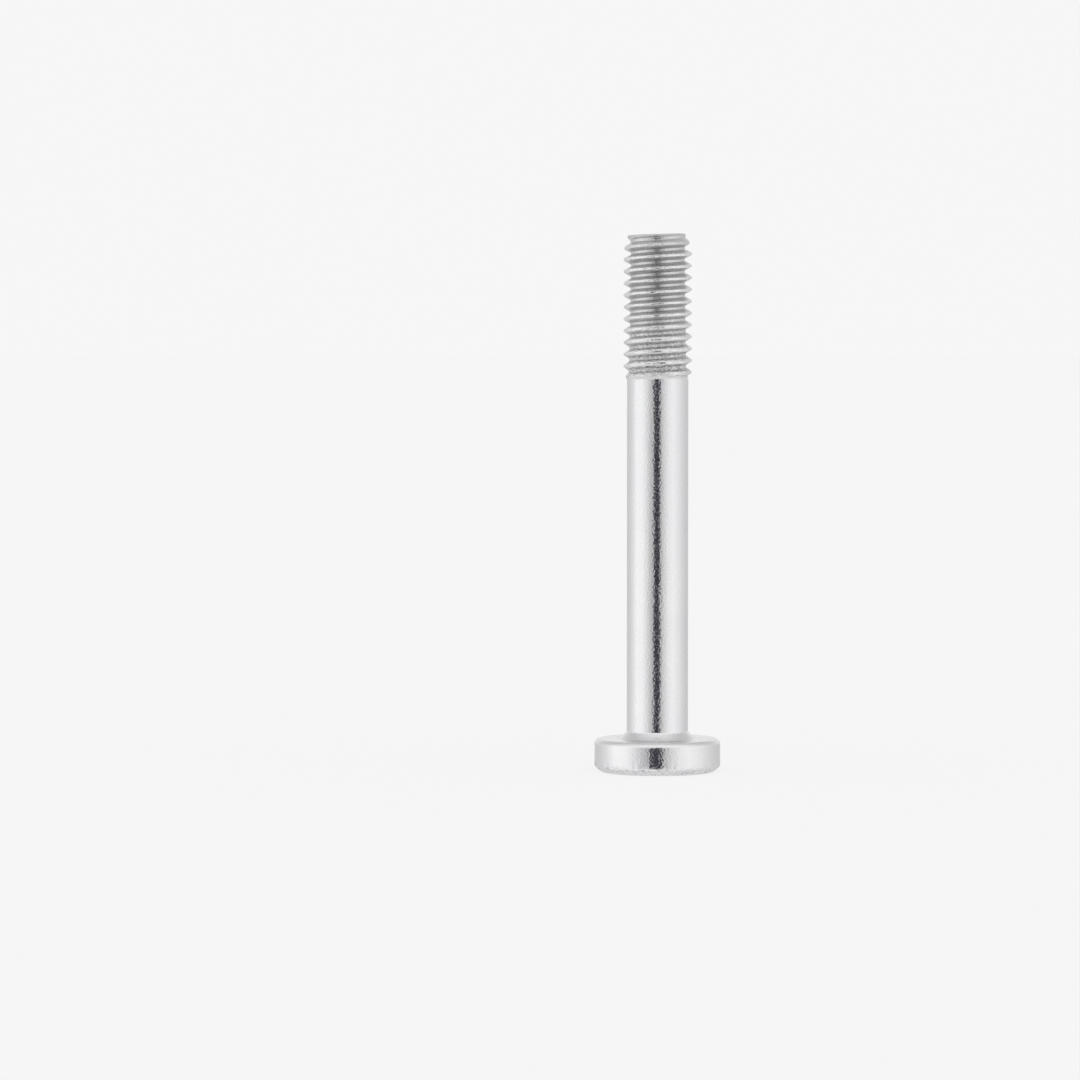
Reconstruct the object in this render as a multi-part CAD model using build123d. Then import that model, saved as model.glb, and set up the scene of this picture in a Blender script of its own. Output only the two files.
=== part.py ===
from build123d import *
from math import atan, cos, degrees, radians, tan
import os

# A flat-headed bolt with a hex socket, a plain shank and an M6 x 1 rolled thread: one piece of steel.
# Millimetres. It stands on the outer face of its head, thread up, with its centre line on Z.

# Head: a low disc, upset from the end of the wire, with both of its edges taken off by the die
head_diameter = 10.7
head_height = 2.8
face_bevel_width = 0.6
face_bevel_height = 0.5
bearing_bevel = 0.4
neck_fillet_radius = 1.0

# Hex socket for a 4 mm key, punched with draft, so it is widest at its mouth
socket_mouth_flats = 4.4
socket_floor_flats = 4.1
socket_depth = 2.3
countersink_diameter = 5.6
countersink_angle = 90

# Shank: the wire's own diameter, which is also what the thread is rolled from
shank_diameter = 5.2
shank_length = 30.4

# Thread: right-hand. Its crests stand out past the shank, and its roots lie inside it.
thread_length = 12.4
thread_major_diameter = 5.8
thread_pitch = 1.0
thread_angle = 60
crest_flat = 0.24 * thread_pitch
root_flat = 0.15 * thread_pitch
crest_phase = 0.69 * thread_pitch
runout_turns = 1
turns_per_face = 4

# Tip: the first turn is rolled down to a smaller diameter, so that it starts easily
tip_diameter = 5.0
tip_taper_length = 1.0

# Worked out from the above
head_radius = head_diameter / 2
shank_radius = shank_diameter / 2
major_radius = thread_major_diameter / 2
flank_slope = tan(radians(thread_angle / 2))
thread_depth = (thread_pitch - crest_flat - root_flat) / 2 / flank_slope
root_radius = major_radius - thread_depth
shank_top = head_height + shank_length
bolt_length = shank_top + thread_length
buried = 0.08 * thread_pitch


def turned_blank():
    """The bolt without its thread and socket: one outline, turned about Z. It runs on past the tip."""
    shoulder_top = shank_top + abs(shank_radius - root_radius)
    blank_top = bolt_length + thread_pitch
    neck_low = (shank_radius + neck_fillet_radius, head_height)
    neck_high = (shank_radius, head_height + neck_fillet_radius)
    with BuildPart() as blank:
        with BuildSketch(Plane.XZ):
            with BuildLine():
                Polyline(
                    (0, 0),
                    (head_radius - face_bevel_width, 0),
                    (head_radius, face_bevel_height),
                    (head_radius, head_height - bearing_bevel),
                    (head_radius - bearing_bevel, head_height),
                    neck_low,
                )
                RadiusArc(neck_low, neck_high, neck_fillet_radius)
                Polyline(
                    neck_high,
                    (shank_radius, shank_top),
                    (root_radius, shoulder_top),
                    (root_radius, blank_top),
                    (0, blank_top),
                    (0, 0),
                )
            make_face()
        revolve(axis=Axis.Z)
    return blank.part


def helix_edges(crest_radius, crest_z, turns, rise=0):
    """The four edges of the ridge, crest and base, below and above its middle. rise widens the coil."""
    cone = atan(rise / (thread_pitch * turns))
    depth = thread_depth + buried
    half_crest = crest_flat / 2
    half_base = half_crest + depth * flank_slope
    corners = (
        (crest_radius - depth, crest_z - half_base),
        (crest_radius, crest_z - half_crest),
        (crest_radius, crest_z + half_crest),
        (crest_radius - depth, crest_z + half_base),
    )
    height = thread_pitch * turns
    step = thread_pitch / cos(cone)
    return [Edge.make_helix(step, height, r, (0, 0, z), angle=degrees(cone)) for r, z in corners]


def strips(edges):
    """The four ruled faces of a stretch of ridge: lower flank, crest, upper flank and base."""
    return [Face.make_surface_from_curves(edges[i], edges[(i + 1) % 4]) for i in range(4)]


def end_cap(edges, at):
    """The flat section of the ridge at the start (0) or the end (1) of its edges."""
    return Face(Wire.make_polygon([edge @ at for edge in edges], close=True))


def thread_ridge():
    """The ridge, wound as one solid. It rises out of the shank over the run-out and leaves past the tip."""
    first_full_z = shank_top + crest_phase
    drop = major_radius - shank_radius + buried
    runout_z = first_full_z - runout_turns * thread_pitch
    coils = [helix_edges(major_radius - drop, runout_z, runout_turns, rise=drop)]
    turns_left = (bolt_length - first_full_z) / thread_pitch + 0.8
    z = first_full_z
    while turns_left > 0:
        turns = min(turns_per_face, turns_left)
        coils.append(helix_edges(major_radius, z, turns))
        z += turns * thread_pitch
        turns_left -= turns
    faces = [face for coil in coils for face in strips(coil)]
    faces += [end_cap(coils[0], 0), end_cap(coils[-1], 1)]
    return Solid(Shell(faces))


def tip_trim():
    """What lies above the tip's end face and outside its taper."""
    taper_slope = (major_radius - tip_diameter / 2) / tip_taper_length
    past = thread_pitch
    outer = major_radius + past * taper_slope
    above = bolt_length + 2 * thread_pitch
    with BuildPart() as trim:
        with BuildSketch(Plane.XZ):
            with BuildLine():
                Polyline(
                    (0, bolt_length),
                    (tip_diameter / 2, bolt_length),
                    (outer, bolt_length - tip_taper_length - past),
                    (outer, above),
                    (0, above),
                    (0, bolt_length),
                )
            make_face()
        revolve(axis=Axis.Z)
    return trim.part


def socket_punch():
    """The drafted hexagonal punch and the countersink at its mouth."""
    below = 1.0
    draft = (socket_mouth_flats - socket_floor_flats) / socket_depth
    widest_flats = socket_mouth_flats + draft * below
    with BuildPart() as punch:
        with BuildSketch(Plane.XY.offset(-below)):
            RegularPolygon(widest_flats / 2, 6, major_radius=False)
        with BuildSketch(Plane.XY.offset(socket_depth)):
            RegularPolygon(socket_floor_flats / 2, 6, major_radius=False)
        loft()
    slope = tan(radians(countersink_angle / 2))
    reach = socket_depth / 2
    mouth = countersink_diameter / 2
    cone = Solid.make_cone(
        mouth + below * slope, mouth - reach * slope, below + reach, Plane.XY.offset(-below)
    )
    return punch.part + cone


def make_bolt():
    """The threaded, pointed and punched bolt."""
    return turned_blank() + thread_ridge() - tip_trim() - socket_punch()


os.makedirs("parts", exist_ok=True)
bolt = make_bolt()
bolt.label = "bolt"
export_step(bolt, "parts/bolt.step")
print("bolt", round(bolt.volume, 1), "mm3,", len(bolt.faces()), "faces,", bolt.bounding_box().size)
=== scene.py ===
# %% [markdown]
# # A zinc-plated bolt with a rolled thread
#
# The part is one piece of steel: a low round head with a hex socket in its outer face, a long plain
# shank and a short coarse thread. It stands on its head.
#
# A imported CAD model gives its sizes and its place. This lesson builds the same bolt again as one
# dense mesh, so that the thread can have the round crests, the torn roots and the small dents of a
# real rolled thread. Then it gives the metal its finish, the floor and the soft studio light.

# %% Load the frame
import bpy
import bmesh
from math import atan2, cos, degrees, exp, hypot, pi, radians, sin, tan
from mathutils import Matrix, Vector, noise


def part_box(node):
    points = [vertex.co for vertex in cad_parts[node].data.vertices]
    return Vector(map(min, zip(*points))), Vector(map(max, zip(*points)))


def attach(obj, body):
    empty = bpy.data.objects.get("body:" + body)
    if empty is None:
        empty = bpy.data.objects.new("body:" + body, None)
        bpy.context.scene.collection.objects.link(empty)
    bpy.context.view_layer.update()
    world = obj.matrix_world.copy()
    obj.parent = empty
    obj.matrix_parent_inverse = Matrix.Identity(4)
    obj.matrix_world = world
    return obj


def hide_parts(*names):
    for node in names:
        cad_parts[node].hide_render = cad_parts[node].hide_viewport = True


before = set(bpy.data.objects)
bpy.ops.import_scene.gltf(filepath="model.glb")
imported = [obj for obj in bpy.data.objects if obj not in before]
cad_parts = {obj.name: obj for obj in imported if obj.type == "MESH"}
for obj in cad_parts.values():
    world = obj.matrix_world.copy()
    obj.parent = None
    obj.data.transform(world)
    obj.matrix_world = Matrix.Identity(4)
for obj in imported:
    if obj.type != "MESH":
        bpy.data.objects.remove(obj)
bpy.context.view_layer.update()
low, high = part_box("bolt")
print("CAD box of the bolt:", [round(v * 1000, 2) for v in high - low], "mm")

# %% [markdown]
# ## Sizes
#
# Lengths are in metres, and the bolt stands at the origin with its centre line on Z. The box gives
# the head's diameter and the whole length. The other sizes are the bolt's own: an M6 x 1 thread on
# a 5.2 mm wire. The head was upset from the wire, which leaves a short flare at the neck, a round
# edge above and a blunt bevel below.

# %% Sizes of the bolt
mm = 0.001
bolt_length = high.z - low.z
head_radius = (high.x - low.x) / 2
head_height = 2.8 * mm
shank_radius = 2.6 * mm
neck_height = 0.72 * mm
neck_width = 0.58 * mm
bearing_edge = 0.5 * mm
face_bevel_width = 0.6 * mm
face_bevel_height = 0.5 * mm

pitch = 1.0 * mm
major_radius = 2.9 * mm
root_radius = 2.37 * mm
tip_radius = 2.5 * mm
thread_start = 33.15 * mm
crest_height = 33.89 * mm
runout_height = 1.2 * mm
print("threaded length:", round((bolt_length - thread_start) / mm, 2), "mm")

# %% [markdown]
# ## One pitch of the thread
#
# A thread is one outline repeated along a helix. The outline is drawn once, as a line of points
# from one crest to the next. The flanks lean 30 degrees each way. A rolled thread is never sharp,
# so the outline is smoothed over a twentieth of a pitch. At the middle of the crest there is a fine
# seam, where the metal that the dies push up from both sides has met.
#
# The line is made by hand's way: a plane is added, all but one of its edges are deleted, and the
# edge left is subdivided. Then each point is put at its radius.

# %% Outline of one pitch
profile_points = 32
flank_slope = tan(radians(30))
crest_half = 0.08
smoothing = 0.025


def sharp_radius(u):
    """Radius of the sharp outline at u pitches from the middle of a crest."""
    v = min(u % 1, 1 - u % 1)
    radius = major_radius - (v - crest_half) * pitch / flank_slope
    return max(root_radius, min(major_radius, radius))


def thread_radius(u):
    """The same outline with its corners rounded and the seam on its crest."""
    steps = [sharp_radius(u + smoothing * i / 4) for i in range(-4, 5)]
    v = min(u % 1, 1 - u % 1)
    seam = 0.02 * mm * exp(-((v / 0.035) ** 2))
    return sum(steps) / len(steps) - seam


bpy.ops.object.select_all(action="DESELECT")
bpy.ops.mesh.primitive_plane_add(size=pitch, location=(0, 0, 0))
bolt = bpy.context.object
bolt.name = "bolt_body"
bpy.ops.object.mode_set(mode="EDIT")
bpy.ops.mesh.select_all(action="DESELECT")
mesh = bmesh.from_edit_mesh(bolt.data)
for vertex in mesh.verts:
    vertex.select = vertex.co.x < 0
mesh.select_flush_mode()
bmesh.update_edit_mesh(bolt.data)
bpy.ops.mesh.delete(type="VERT")
bpy.ops.mesh.select_all(action="SELECT")
bpy.ops.mesh.subdivide(number_cuts=profile_points - 1)
bpy.ops.object.mode_set(mode="OBJECT")
first_crest = crest_height - 2 * pitch
for vertex in bolt.data.vertices:
    u = vertex.co.y / pitch + 0.5
    vertex.co = (thread_radius(u), 0, first_crest + u * pitch)
print("points in one pitch:", len(bolt.data.vertices))

# %% [markdown]
# ## Wind the thread
#
# The Screw modifier turns the outline about Z and lifts it by one pitch a turn, to the right as it
# rises. Turned fifteen times, it gives a threaded tube that is longer than needed at both ends. The
# edge of each turn lies on the edge of the next, so the doubles are merged.

# %% Screw the outline into a tube
turn_steps = 160
screw = bolt.modifiers.new("screw", "SCREW")
screw.angle = 2 * pi
screw.screw_offset = pitch
screw.iterations = 15
screw.steps = turn_steps
screw.render_steps = turn_steps
screw.use_smooth_shade = True
bpy.ops.object.modifier_apply(modifier="screw")
bpy.ops.object.mode_set(mode="EDIT")
bpy.ops.mesh.select_all(action="SELECT")
bpy.ops.mesh.remove_doubles(threshold=0.002 * mm)
bpy.ops.mesh.normals_make_consistent(inside=False)
bpy.ops.object.mode_set(mode="OBJECT")
heights = [vertex.co.z for vertex in bolt.data.vertices]
print("tube from", round(min(heights) / mm, 2), "to", round(max(heights) / mm, 2), "mm")

# %% [markdown]
# ## Run-out, first turn and rolling marks
#
# Where the dies begin, the ridge grows out of the plain shank within a turn, and at the tip the
# first turn is low, so that a nut starts easily. Both are a change of radius with height. The
# crests of a rolled thread are a little uneven, and in the lower turns the roots are torn, where
# the metal stuck to the dies. Smooth noise moves the points by up to a tenth of a millimetre.

# %% Shape the ends of the thread


def ramp(value, start, end):
    """0 before start, 1 after end, and straight in between."""
    return max(0.0, min(1.0, (value - start) / (end - start)))


def wave(point, size, seed):
    """Smooth noise from -1 to 1 with features of about this size."""
    return noise.noise(point / size + Vector((seed, 0, 0)))


torn_top = 38.6 * mm
torn_fade = 2.5 * mm
root_deepening = 0.08 * mm
tip_taper = 1.4 * mm
cut_margin = 0.08 * mm
for vertex in bolt.data.vertices:
    x, y, z = vertex.co
    radius = hypot(x, y)
    crest_share = ramp(radius, 2.55 * mm, major_radius)
    root_share = 1 - ramp(radius, root_radius, 2.65 * mm)
    spot = Vector((x, y, z))
    fine_lumps = 0.06 * mm * wave(spot, 0.22 * mm, 3.1)
    lumps = fine_lumps + 0.05 * mm * wave(spot, 0.9 * mm, 8.4) - 0.02 * mm
    torn = ramp(torn_top - z, 0, torn_fade) * ramp(wave(spot, 1.6 * mm, 5.5), -0.45, 0.1)
    tears = 0.07 * mm * wave(spot, 0.16 * mm, 1.7) + 0.05 * mm * wave(spot, 0.4 * mm, 6.2)
    deeper = root_deepening * ramp(z, 36 * mm, 43 * mm)
    radius += crest_share * min(0, lumps) + root_share * (torn * tears - deeper)
    grown = sin(pi / 2 * ramp(z, thread_start + cut_margin, thread_start + runout_height))
    radius = shank_radius + grown * (radius - shank_radius)
    first_lump = 0.16 * mm * wave(spot, 0.38 * mm, 9.3)
    first_turns = 1 - ramp(z, 34.2 * mm, 35.4 * mm)
    radius += first_lump * grown * first_turns * (1 - crest_share * 0.4)
    full = ramp(bolt_length - z, 0, tip_taper)
    top = (tip_radius - root_radius) / (major_radius - root_radius)
    radius = root_radius + (radius - root_radius) * (top + full * (1 - top))
    vertex.co.x *= radius / hypot(x, y)
    vertex.co.y *= radius / hypot(x, y)
widest = max(hypot(vertex.co.x, vertex.co.y) for vertex in bolt.data.vertices)
print("largest radius:", round(widest / mm, 3), "mm")

# %% [markdown]
# ## Cut the tube to length
#
# Two bisects trim the tube: one square where the thread starts, and one just under the tip. The
# wire was sheared before it was rolled, so the tip's end leans by almost two degrees. Each cut
# leaves a clean ring of open edges, which the next steps extrude.

# %% Bisect at both ends
tip_ease = 0.08 * mm
tip_tilt = 0.03


def trim(height, keep_above, tilt=0):
    """Cuts the mesh at this height and clears what lies on one side. tilt leans the cut about Y."""
    bpy.ops.object.mode_set(mode="EDIT")
    bpy.ops.mesh.select_all(action="SELECT")
    bpy.ops.mesh.bisect(
        plane_co=(0, 0, height),
        plane_no=(-tilt, 0, 1),
        use_fill=False,
        clear_inner=keep_above,
        clear_outer=not keep_above,
        threshold=0.0001 * mm,
    )
    bpy.ops.object.mode_set(mode="OBJECT")


trim(thread_start, keep_above=True)
tip_middle = bolt_length - tip_tilt * tip_radius
trim(tip_middle - tip_ease, keep_above=False, tilt=tip_tilt)
print("points after both cuts:", len(bolt.data.vertices))

# %% [markdown]
# ## Draw out the shank and the head
#
# The ring of open edges at the thread's start is extruded again and again: down the shank, round
# the flared neck, out along the bearing face, round its edge, down the rim, round the blunt bevel
# and in along the outer face. The stops of that walk are listed as pairs of radius and height, with
# each round stretch worked out from its centre.

# %% Helpers for rings


def select_ring(lowest, highest):
    """Selects the open edges between these heights, and nothing else."""
    bpy.ops.object.mode_set(mode="EDIT")
    bpy.ops.mesh.select_mode(type="EDGE")
    bpy.ops.mesh.select_all(action="DESELECT")
    shape = bmesh.from_edit_mesh(bolt.data)
    for edge in shape.edges:
        on_ring = all(lowest < v.co.z < highest for v in edge.verts)
        edge.select = edge.is_boundary and on_ring
    bmesh.update_edit_mesh(bolt.data)
    return sum(edge.select for edge in shape.edges)


def extrude_ring(radius, height, at):
    """Extrudes the selected ring from one (radius, height) to the next. A leaning ring stays so."""
    lift = (0, 0, height - at[1])
    bpy.ops.mesh.extrude_region_move(TRANSFORM_OT_translate={"value": lift})
    scale = radius / at[0]
    bpy.ops.transform.resize(value=(scale, scale, scale), center_override=(0, 0, height))
    return radius, height


def arc(centre_r, centre_z, radius, start, end, steps):
    """Points of an arc, from the first angle to the last, leaving out its first point."""
    angles = [radians(start + (end - start) * i / steps) for i in range(1, steps + 1)]
    return [(centre_r + radius * cos(a), centre_z + radius * sin(a)) for a in angles]


# %% The walk from the shank to the outer face
neck_round = 0.3 * mm
shank_end = head_height + neck_height
lean = degrees(atan2(neck_width, neck_height))
rim_top = head_height - bearing_edge
flat_radius = head_radius - face_bevel_width
walk = [(shank_radius, shank_end + above) for above in (20 * mm, 8 * mm, 0)]
walk += arc(shank_radius + neck_round, shank_end, neck_round, 180, 180 + lean, 4)
walk += [
    (shank_radius + neck_width, head_height + 0.04 * mm),
    (shank_radius + neck_width + 0.05 * mm, head_height + 0.01 * mm),
    (shank_radius + neck_width + 0.12 * mm, head_height),
    (3.9 * mm, head_height),
    (4.4 * mm, head_height),
    (head_radius - bearing_edge, head_height),
]
walk += arc(head_radius - bearing_edge, rim_top, bearing_edge, 90, 6, 8)
rim_stops = 6
rim_swell = 0.02 * mm
rim_wall = rim_top - face_bevel_height - 0.1 * mm
for i in range(1, rim_stops + 1):
    swell = rim_swell * (1 - i / rim_stops)
    walk.append((head_radius - swell, rim_top - rim_wall * i / rim_stops))
walk += [
    (head_radius - 0.02 * mm, face_bevel_height),
    (head_radius - 0.08 * mm, face_bevel_height - 0.1 * mm),
    (head_radius - 0.2 * mm, face_bevel_height - 0.2 * mm),
    (head_radius - 0.32 * mm, face_bevel_height - 0.31 * mm),
    (head_radius - 0.44 * mm, face_bevel_height - 0.41 * mm),
    (flat_radius + 0.05 * mm, 0.03 * mm),
    (flat_radius - 0.03 * mm, 0.0),
    (flat_radius - 0.3 * mm, 0.0),
    (3.7 * mm, 0.0),
    (3.1 * mm, 0.0),
]
ring_edges = select_ring(thread_start - 0.002 * mm, thread_start + 0.002 * mm)
at = (shank_radius, thread_start)
for radius, height in walk:
    at = extrude_ring(radius, height, at)
bpy.ops.object.mode_set(mode="OBJECT")
print("edges in the ring:", ring_edges, "stops in the walk:", len(walk))

# %% [markdown]
# ## Punch the hex socket
#
# The same ring goes on into the head. First it makes the 90 degree countersink. Then it turns from
# a circle into a hexagon: each point keeps its direction and moves to the wall of the hexagon, at
# the height where the cone meets that wall. That gives the six scallops that a countersunk socket
# has. The socket narrows a little towards its floor, as the punch did.

# %% Countersink and socket
countersink_radius = 2.8 * mm
mouth_half = 2.2 * mm
floor_half = 2.05 * mm
socket_depth = 2.3 * mm
hex_turn = pi / 3


def hex_radius(angle, half):
    """Distance from the centre to the wall of a hexagon that is 2 * half across its flats."""
    return half / cos(angle % hex_turn - hex_turn / 2)


def extrude_socket(half, depth_at):
    """Extrudes the ring and puts each point on the hexagon, at the depth for its radius."""
    bpy.ops.mesh.extrude_region_move(TRANSFORM_OT_translate={"value": (0, 0, 0)})
    shape = bmesh.from_edit_mesh(bolt.data)
    for vertex in shape.verts:
        if vertex.select:
            angle = atan2(vertex.co.y, vertex.co.x)
            radius = hex_radius(angle, half)
            vertex.co = (radius * cos(angle), radius * sin(angle), depth_at(radius))
    bmesh.update_edit_mesh(bolt.data)


bpy.ops.object.mode_set(mode="EDIT")
for radius, height in ((2.86, 0), (2.82, 0.01), (2.78, 0.03), (2.68, 0.13)):
    at = extrude_ring(radius * mm, height * mm, at)
lip = 0.04 * mm
draft = (mouth_half - floor_half) / socket_depth
below_lip = countersink_radius + 0.03 * mm
extrude_socket(mouth_half + lip, lambda r: max(0.14 * mm, countersink_radius - r))
extrude_socket(mouth_half - lip * draft, lambda r: max(0.16 * mm, below_lip - r) + 2 * lip)
extrude_socket(floor_half + 0.1 * draft * mm, lambda r: socket_depth - 0.1 * mm)
extrude_socket(floor_half - 0.06 * mm, lambda r: socket_depth)
extrude_socket(floor_half * 0.6, lambda r: socket_depth)
bpy.ops.mesh.edge_face_add()
bpy.ops.object.mode_set(mode="OBJECT")
print("socket:", round(2 * mouth_half / mm, 2), "mm across flats at its mouth")

# %% [markdown]
# ## Close the tip
#
# The upper ring gets an eased edge and a flat end that is dished by a few hundredths, as the
# cut end of the wire is after rolling.

# %% End face
select_ring(bolt_length - pitch, bolt_length)
at = (tip_radius, tip_middle - tip_ease)
tip_stops = ((0.99, 0.03), (0.965, 0.005), (0.93, 0.0), (0.8, 0.02), (0.5, 0.04), (0.2, 0.05))
for part, drop in tip_stops:
    at = extrude_ring(tip_radius * part, tip_middle - drop * mm, at)
bpy.ops.mesh.edge_face_add()
bpy.ops.mesh.select_all(action="SELECT")
bpy.ops.mesh.normals_make_consistent(inside=False)
bpy.ops.object.mode_set(mode="OBJECT")

# %% [markdown]
# ## Small dents on the head
#
# Bolts are tumbled together, so the lower edge of the head is nicked all round. The same noise as
# before pushes its points in a little, and never out past the true radius.

# %% Nick the rim
for vertex in bolt.data.vertices:
    x, y, z = vertex.co
    radius = hypot(x, y)
    near_edge = ramp(radius, 4.6 * mm, 5.0 * mm) * (1 - ramp(z, 0.45 * mm, 1.0 * mm))
    if near_edge > 0:
        spot = Vector((x, y, z * 0.5))
        nick = max(0.0, wave(spot, 0.28 * mm, 2.2) - 0.05) * 0.2 * mm
        dent = max(0.0, wave(spot, 0.9 * mm, 4.6) - 0.15) * 0.1 * mm
        shrink = 1 - near_edge * (nick + dent) / radius
        vertex.co.x *= shrink
        vertex.co.y *= shrink

bpy.ops.object.select_all(action="DESELECT")
bolt.select_set(True)
bpy.context.view_layer.objects.active = bolt
bpy.ops.object.shade_smooth_by_angle(angle=radians(50))
check = bmesh.new()
check.from_mesh(bolt.data)
open_edges = sum(not edge.is_manifold for edge in check.edges)
volume = check.calc_volume(signed=True)
check.free()
triangles = sum(len(face.vertices) - 2 for face in bolt.data.polygons)
print("triangles:", triangles, "open edges:", open_edges)
print("volume:", round(volume / mm**3, 1), "mm3")

# %% [markdown]
# ## Zinc plate
#
# Bright zinc is a fully metallic surface with a low roughness. What makes it look real is its fine
# grain. Crystals a tenth of a millimetre across are duller than the film between them, and tilt it
# a little, so dark reflections break up into specks. A softer unevenness along the shank comes from
# the drawn wire. The patterns read Object coordinates, scaled so that one unit is a millimetre.

# %% Material helpers
zinc = bpy.data.materials.new("zinc_plate")
zinc.use_nodes = True
nodes = zinc.node_tree.nodes
links = zinc.node_tree.links
surface = nodes["Principled BSDF"]
surface.inputs["Metallic"].default_value = 1.0

place = nodes.new("ShaderNodeTexCoord")
in_mm = nodes.new("ShaderNodeMapping")
in_mm.inputs["Scale"].default_value = (1000, 1000, 1000)
links.new(place.outputs["Object"], in_mm.inputs["Vector"])


def zinc_noise(scale, detail, stretch=(1, 1, 1)):
    """Noise with this many features a millimetre, stretched along the axes by a mapping."""
    spread = nodes.new("ShaderNodeMapping")
    spread.inputs["Scale"].default_value = stretch
    texture = nodes.new("ShaderNodeTexNoise")
    texture.inputs["Scale"].default_value = scale
    texture.inputs["Detail"].default_value = detail
    links.new(in_mm.outputs["Vector"], spread.inputs["Vector"])
    links.new(spread.outputs["Vector"], texture.inputs["Vector"])
    return texture.outputs["Fac"]


def ranged(value, from_low, from_high, to_low, to_high):
    """A Map Range node from one range to another."""
    node = nodes.new("ShaderNodeMapRange")
    node.inputs["From Min"].default_value = from_low
    node.inputs["From Max"].default_value = from_high
    node.inputs["To Min"].default_value = to_low
    node.inputs["To Max"].default_value = to_high
    links.new(value, node.inputs["Value"])
    return node.outputs["Result"]


def combine(operation, first, second):
    """A Math node on two sockets, or on a socket and a number."""
    node = nodes.new("ShaderNodeMath")
    node.operation = operation
    links.new(first, node.inputs[0])
    if isinstance(second, (int, float)):
        node.inputs[1].default_value = second
    else:
        links.new(second, node.inputs[1])
    return node.outputs["Value"]


# %% [markdown]
# ### Colour and roughness
#
# The plate is nearly grey, with a faint drift between violet and green. In the grooves of the
# thread the colour is darker, which is painted shade, since the flanks lie in each other's shade
# and little light gets in; the grooves are also rougher, since the dies rub there. The distance
# from the centre line and the height tell where the grooves are. In the lower turns bright flecks
# show where the metal tore.

# %% Colour and roughness
tint = nodes.new("ShaderNodeMix")
tint.data_type = "RGBA"
tint.inputs["A"].default_value = (0.69, 0.685, 0.705, 1)
tint.inputs["B"].default_value = (0.70, 0.705, 0.70, 1)
links.new(ranged(zinc_noise(0.35, 2), 0.35, 0.65, 0, 1), tint.inputs["Factor"])
split = nodes.new("ShaderNodeSeparateXYZ")
links.new(in_mm.outputs["Vector"], split.inputs["Vector"])
across = combine("MULTIPLY", split.outputs["X"], split.outputs["X"])
along = combine("MULTIPLY", split.outputs["Y"], split.outputs["Y"])
from_axis = combine("SQRT", combine("ADD", across, along), 0)
threaded = ranged(split.outputs["Z"], 33.2, 33.9, 0, 1)
# This mask of the grooves carries the painted shade in the colour, and also their roughness and
# torn relief.
in_groove = combine("MULTIPLY", threaded, ranged(from_axis, 2.84, 2.7, 0, 1))
past_start = ranged(split.outputs["Z"], 33.1, 33.4, 0, 1)
below_top = ranged(split.outputs["Z"], 39.5, 36.5, 0, 1)
lower_turns = combine("MULTIPLY", past_start, below_top)
flecks = combine("MULTIPLY", ranged(zinc_noise(3.5, 4), 0.5, 0.62, 0, 1), lower_turns)
# Its darker grey A is painted shade in the grooves; its lighter grey B is the torn metal's flecks.
groove_shade_and_flecks = nodes.new("ShaderNodeMix")
groove_shade_and_flecks.data_type = "RGBA"
groove_shade_and_flecks.inputs["A"].default_value = (0.575, 0.57, 0.57, 1)
groove_shade_and_flecks.inputs["B"].default_value = (0.74, 0.735, 0.735, 1)
links.new(flecks, groove_shade_and_flecks.inputs["Factor"])
# This mix lays the painted groove shade over the plate's tint.
painted_groove_shade = nodes.new("ShaderNodeMix")
painted_groove_shade.data_type = "RGBA"
links.new(groove_shade_and_flecks.outputs["Result"], painted_groove_shade.inputs["B"])
links.new(in_groove, painted_groove_shade.inputs["Factor"])
links.new(tint.outputs["Result"], painted_groove_shade.inputs["A"])
links.new(painted_groove_shade.outputs["Result"], surface.inputs["Base Color"])
rolled = combine("ADD", combine("MULTIPLY", threaded, 0.04), combine("MULTIPLY", in_groove, 0.13))
specks = combine("ADD", rolled, ranged(zinc_noise(7.0, 1), 0.52, 0.64, 0, 0.16))
polish = ranged(zinc_noise(1.5, 3), 0.3, 0.7, 0.09, 0.13)
links.new(combine("ADD", polish, specks), surface.inputs["Roughness"])

# %% [markdown]
# ### Relief
#
# Four bumps lie on top of each other: long marks of drawing on the shank, torn metal in the lower
# grooves, the rough lower part of the head, and the grain over all of it. Their depths are given in
# metres, as the form's sizes are.

# %% Relief of the surface
drawn_depth = 0.007 * mm
torn_depth = 0.18 * mm
face_depth = 0.25 * mm
grain_depth = 0.012 * mm
grain = zinc_noise(6.0, 0)
on_shank = ranged(split.outputs["Z"], 2.8, 3.8, 0, 1)
drawn = combine("MULTIPLY", zinc_noise(2.0, 2, (1, 1, 0.06)), on_shank)
torn_roots = combine("MULTIPLY", zinc_noise(4.5, 4), lower_turns)
torn_metal = combine("MULTIPLY", torn_roots, in_groove)
low_head = ranged(split.outputs["Z"], 0.6, 0.45, 0, 1)
face_rough = combine("MULTIPLY", zinc_noise(4.0, 3), low_head)


def relief(height, depth, under=None):
    """A Bump node of this depth in metres, on top of another one."""
    node = nodes.new("ShaderNodeBump")
    node.inputs["Strength"].default_value = 1.0
    node.inputs["Distance"].default_value = depth
    links.new(height, node.inputs["Height"])
    if under:
        links.new(under, node.inputs["Normal"])
    return node.outputs["Normal"]


normal = relief(drawn, drawn_depth)
normal = relief(torn_metal, torn_depth, normal)
normal = relief(face_rough, face_depth, normal)
normal = relief(grain, grain_depth, normal)
links.new(normal, surface.inputs["Normal"])
bolt.data.materials.clear()
bolt.data.materials.append(zinc)
print("material:", zinc.name, "with", len(nodes), "nodes")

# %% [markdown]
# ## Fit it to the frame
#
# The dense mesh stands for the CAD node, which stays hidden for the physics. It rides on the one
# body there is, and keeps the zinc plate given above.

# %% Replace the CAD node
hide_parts("bolt")
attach(bolt, "root")

# %% [markdown]
# ## Floor
#
# The floor is a plain pale sheet, far larger than the view. For the camera it glows almost as
# bright as the backdrop behind it, so that the two run together, and the rest of its brightness is
# diffuse, which keeps the bolt's soft shadow. Reflections skip the floor and show the studio, which
# goes on below it.

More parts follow.
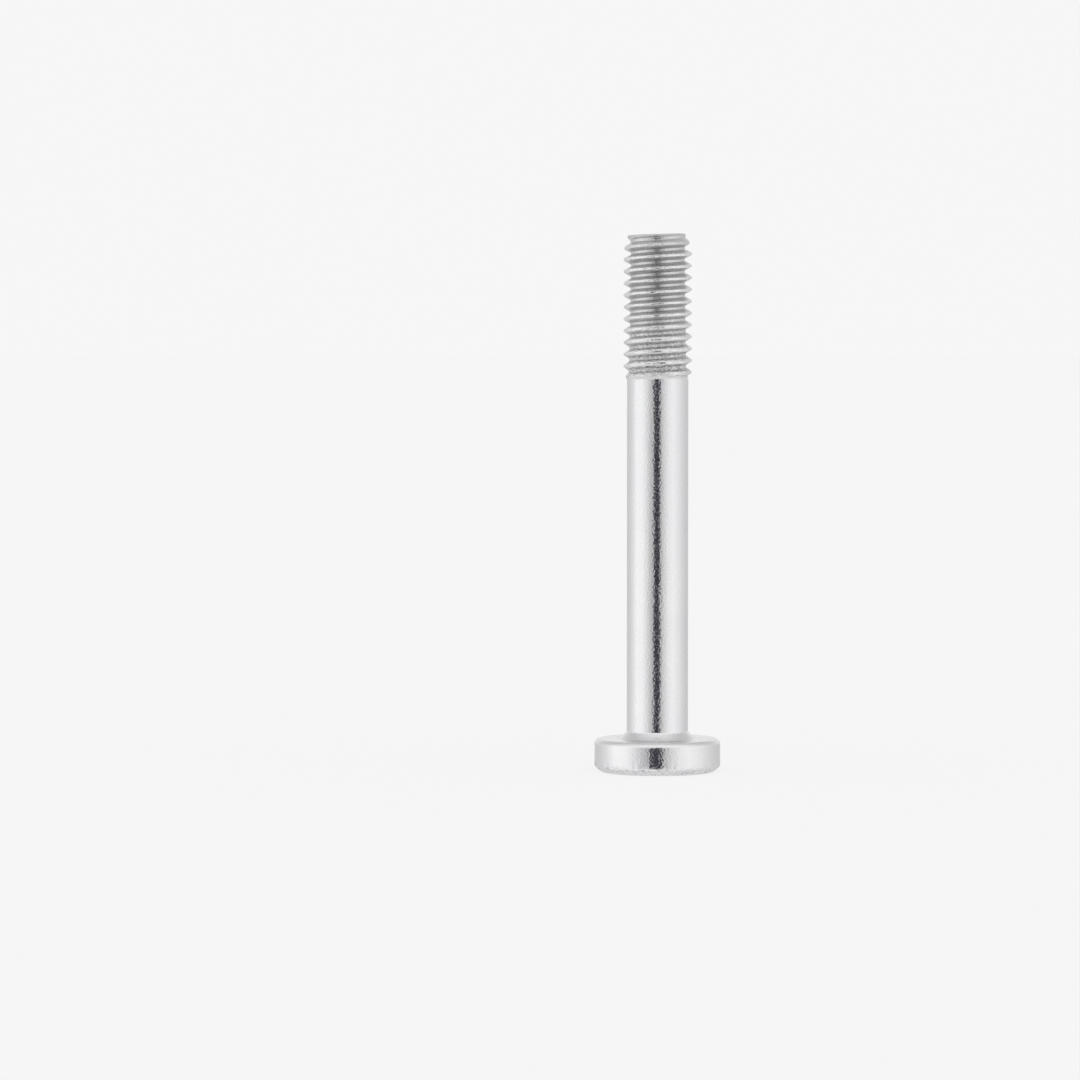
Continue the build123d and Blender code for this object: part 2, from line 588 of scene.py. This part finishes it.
# %% Floor
backdrop = 0.925
floor_glow = 0.805
floor_diffuse = 0.12
bpy.ops.object.select_all(action="DESELECT")
bpy.ops.mesh.primitive_plane_add(size=30, location=(0, 0, 0))
floor = bpy.context.object
floor.name = "floor"
floor.visible_glossy = False
sheet = bpy.data.materials.new("pale_sheet")
sheet.use_nodes = True
sheet_nodes = sheet.node_tree.nodes
sheet_links = sheet.node_tree.links
sheet_nodes.clear()
glow = sheet_nodes.new("ShaderNodeEmission")
matt = sheet_nodes.new("ShaderNodeBsdfDiffuse")
both = sheet_nodes.new("ShaderNodeAddShader")
seen = sheet_nodes.new("ShaderNodeLightPath")
glow_level = sheet_nodes.new("ShaderNodeMath")
glow_level.operation = "MULTIPLY"
glow_level.inputs[1].default_value = floor_glow
end = sheet_nodes.new("ShaderNodeOutputMaterial")
matt.inputs["Color"].default_value = (floor_diffuse, floor_diffuse, floor_diffuse, 1)
sheet_links.new(seen.outputs["Is Camera Ray"], glow_level.inputs[0])
sheet_links.new(glow_level.outputs["Value"], glow.inputs["Strength"])
sheet_links.new(glow.outputs["Emission"], both.inputs[0])
sheet_links.new(matt.outputs["BSDF"], both.inputs[1])
sheet_links.new(both.outputs["Shader"], end.inputs["Surface"])
floor.data.materials.append(sheet)

# %% [markdown]
# ## Studio light
#
# Polished metal shows the room. Here the room is two tall soft boxes, one on each side, with a dark
# gap between them where the camera stands. Each box is brightest at about 75 degrees from the
# camera and falls off towards the back. The world draws that room: a colour ramp over the compass
# direction, from behind the bolt, round the left side to the camera and on round the right side.
# The brightness of each stop is the light that comes from there; the dark gap is faintly blue.
# Above, the room fades to a third soft box over the front and to a dimmer wall at the back. Below,
# it fades to the pale table.

# %% World
studio = bpy.data.worlds.new("studio")
bpy.context.scene.world = studio
studio.use_nodes = True
room = studio.node_tree.nodes
wires = studio.node_tree.links
room.clear()
look = room.new("ShaderNodeTexCoord")
axes = room.new("ShaderNodeSeparateXYZ")
toward = room.new("ShaderNodeMath")
toward.operation = "MULTIPLY"
toward.inputs[1].default_value = -1
compass = room.new("ShaderNodeMath")
compass.operation = "ARCTAN2"
share = room.new("ShaderNodeMapRange")
share.inputs["From Min"].default_value = -pi
share.inputs["From Max"].default_value = pi
boxes = room.new("ShaderNodeValToRGB")
wires.new(look.outputs["Generated"], axes.inputs["Vector"])
wires.new(axes.outputs["Y"], toward.inputs[0])
wires.new(axes.outputs["X"], compass.inputs[0])
wires.new(toward.outputs["Value"], compass.inputs[1])
wires.new(compass.outputs["Value"], share.inputs["Value"])
wires.new(share.outputs["Result"], boxes.inputs["Fac"])

brightest = 1.32
gap_level = 0.2
gap_blue = 0.011
stops = (
    (-180, 0.72), (-140, 0.78), (-108, 1.00), (-85, 1.30), (-58, 1.25), (-40, 1.00), (-26, 0.72),
    (-17, 0.66), (-12, 0.08), (0, 0.04), (7, 0.08), (11, 0.60), (22, 0.86), (40, 1.13), (60, 1.24),
    (88, 1.08), (110, 0.92), (146, 0.74), (180, 0.72),
)
ramp_stops = boxes.color_ramp.elements
while len(ramp_stops) < len(stops):
    ramp_stops.new(0.5)
for stop, (degrees_round, level) in zip(ramp_stops, stops):
    stop.position = (degrees_round + 180) / 360
    value = level / brightest
    blue = value + (gap_blue if level < gap_level else 0)
    stop.color = (value, value, blue, 1)


def slope(value, start, end):
    """0 where the value is at start and 1 where it is at end."""
    node = room.new("ShaderNodeMapRange")
    node.inputs["From Min"].default_value = start
    node.inputs["From Max"].default_value = end
    wires.new(value, node.inputs["Value"])
    return node.outputs["Result"]


def blend(under, level, factor):
    """The colour under it, fading to a grey of this level, or to another colour, by the factor."""
    node = room.new("ShaderNodeMix")
    node.data_type = "RGBA"
    wires.new(under, node.inputs["A"])
    wires.new(factor, node.inputs["Factor"])
    if isinstance(level, (int, float)):
        value = level / brightest
        node.inputs["B"].default_value = (value, value, value, 1)
    else:
        wires.new(level, node.inputs["B"])
    return node.outputs["Result"]


both_ways = room.new("ShaderNodeMath")
both_ways.operation = "MULTIPLY"
wires.new(slope(axes.outputs["Z"], 0.0, 0.04), both_ways.inputs[0])
wires.new(slope(axes.outputs["Y"], 0.5, 0.9), both_ways.inputs[1])
with_backdrop = blend(boxes.outputs["Color"], 0.93, both_ways.outputs["Value"])
back_top = blend(with_backdrop, 0.72, slope(axes.outputs["Z"], 0.3, 0.7))
front_top = blend(with_backdrop, 1.15, slope(axes.outputs["Z"], 0.2, 0.6))
overhead = blend(back_top, front_top, slope(axes.outputs["Y"], 0.4, -0.4))
whole_room = blend(overhead, 0.98, slope(axes.outputs["Z"], -0.2, -0.6))
lit = room.new("ShaderNodeBackground")
lit.inputs["Strength"].default_value = brightest
wires.new(whole_room, lit.inputs["Color"])
plain = room.new("ShaderNodeBackground")
plain.inputs["Color"].default_value = (backdrop, backdrop, backdrop, 1)
ray = room.new("ShaderNodeLightPath")
choose = room.new("ShaderNodeMixShader")
sky = room.new("ShaderNodeOutputWorld")
wires.new(ray.outputs["Is Camera Ray"], choose.inputs["Fac"])
wires.new(lit.outputs["Background"], choose.inputs[1])
wires.new(plain.outputs["Background"], choose.inputs[2])
wires.new(choose.outputs["Shader"], sky.inputs["Surface"])
print("stops in the studio's ramp:", len(stops))

# %% [markdown]
# ## Camera
#
# A long lens stands 40 cm away, a little below the tip's height, and looks slightly down. So the
# tip is seen edge-on, and the top of the head shows as a thin ellipse.

# %% Camera
view = bpy.data.cameras.new("camera")
view.lens = 157.6
view.sensor_width = 36
view.clip_start = 0.01
camera = bpy.data.objects.new("camera", view)
bpy.context.scene.collection.objects.link(camera)
camera.location = (0, -0.4008, 0.03634)
camera.rotation_euler = (radians(90 - 2.385), 0, radians(1.425))
bpy.context.scene.camera = camera
bpy.context.scene.view_settings.view_transform = "Standard"
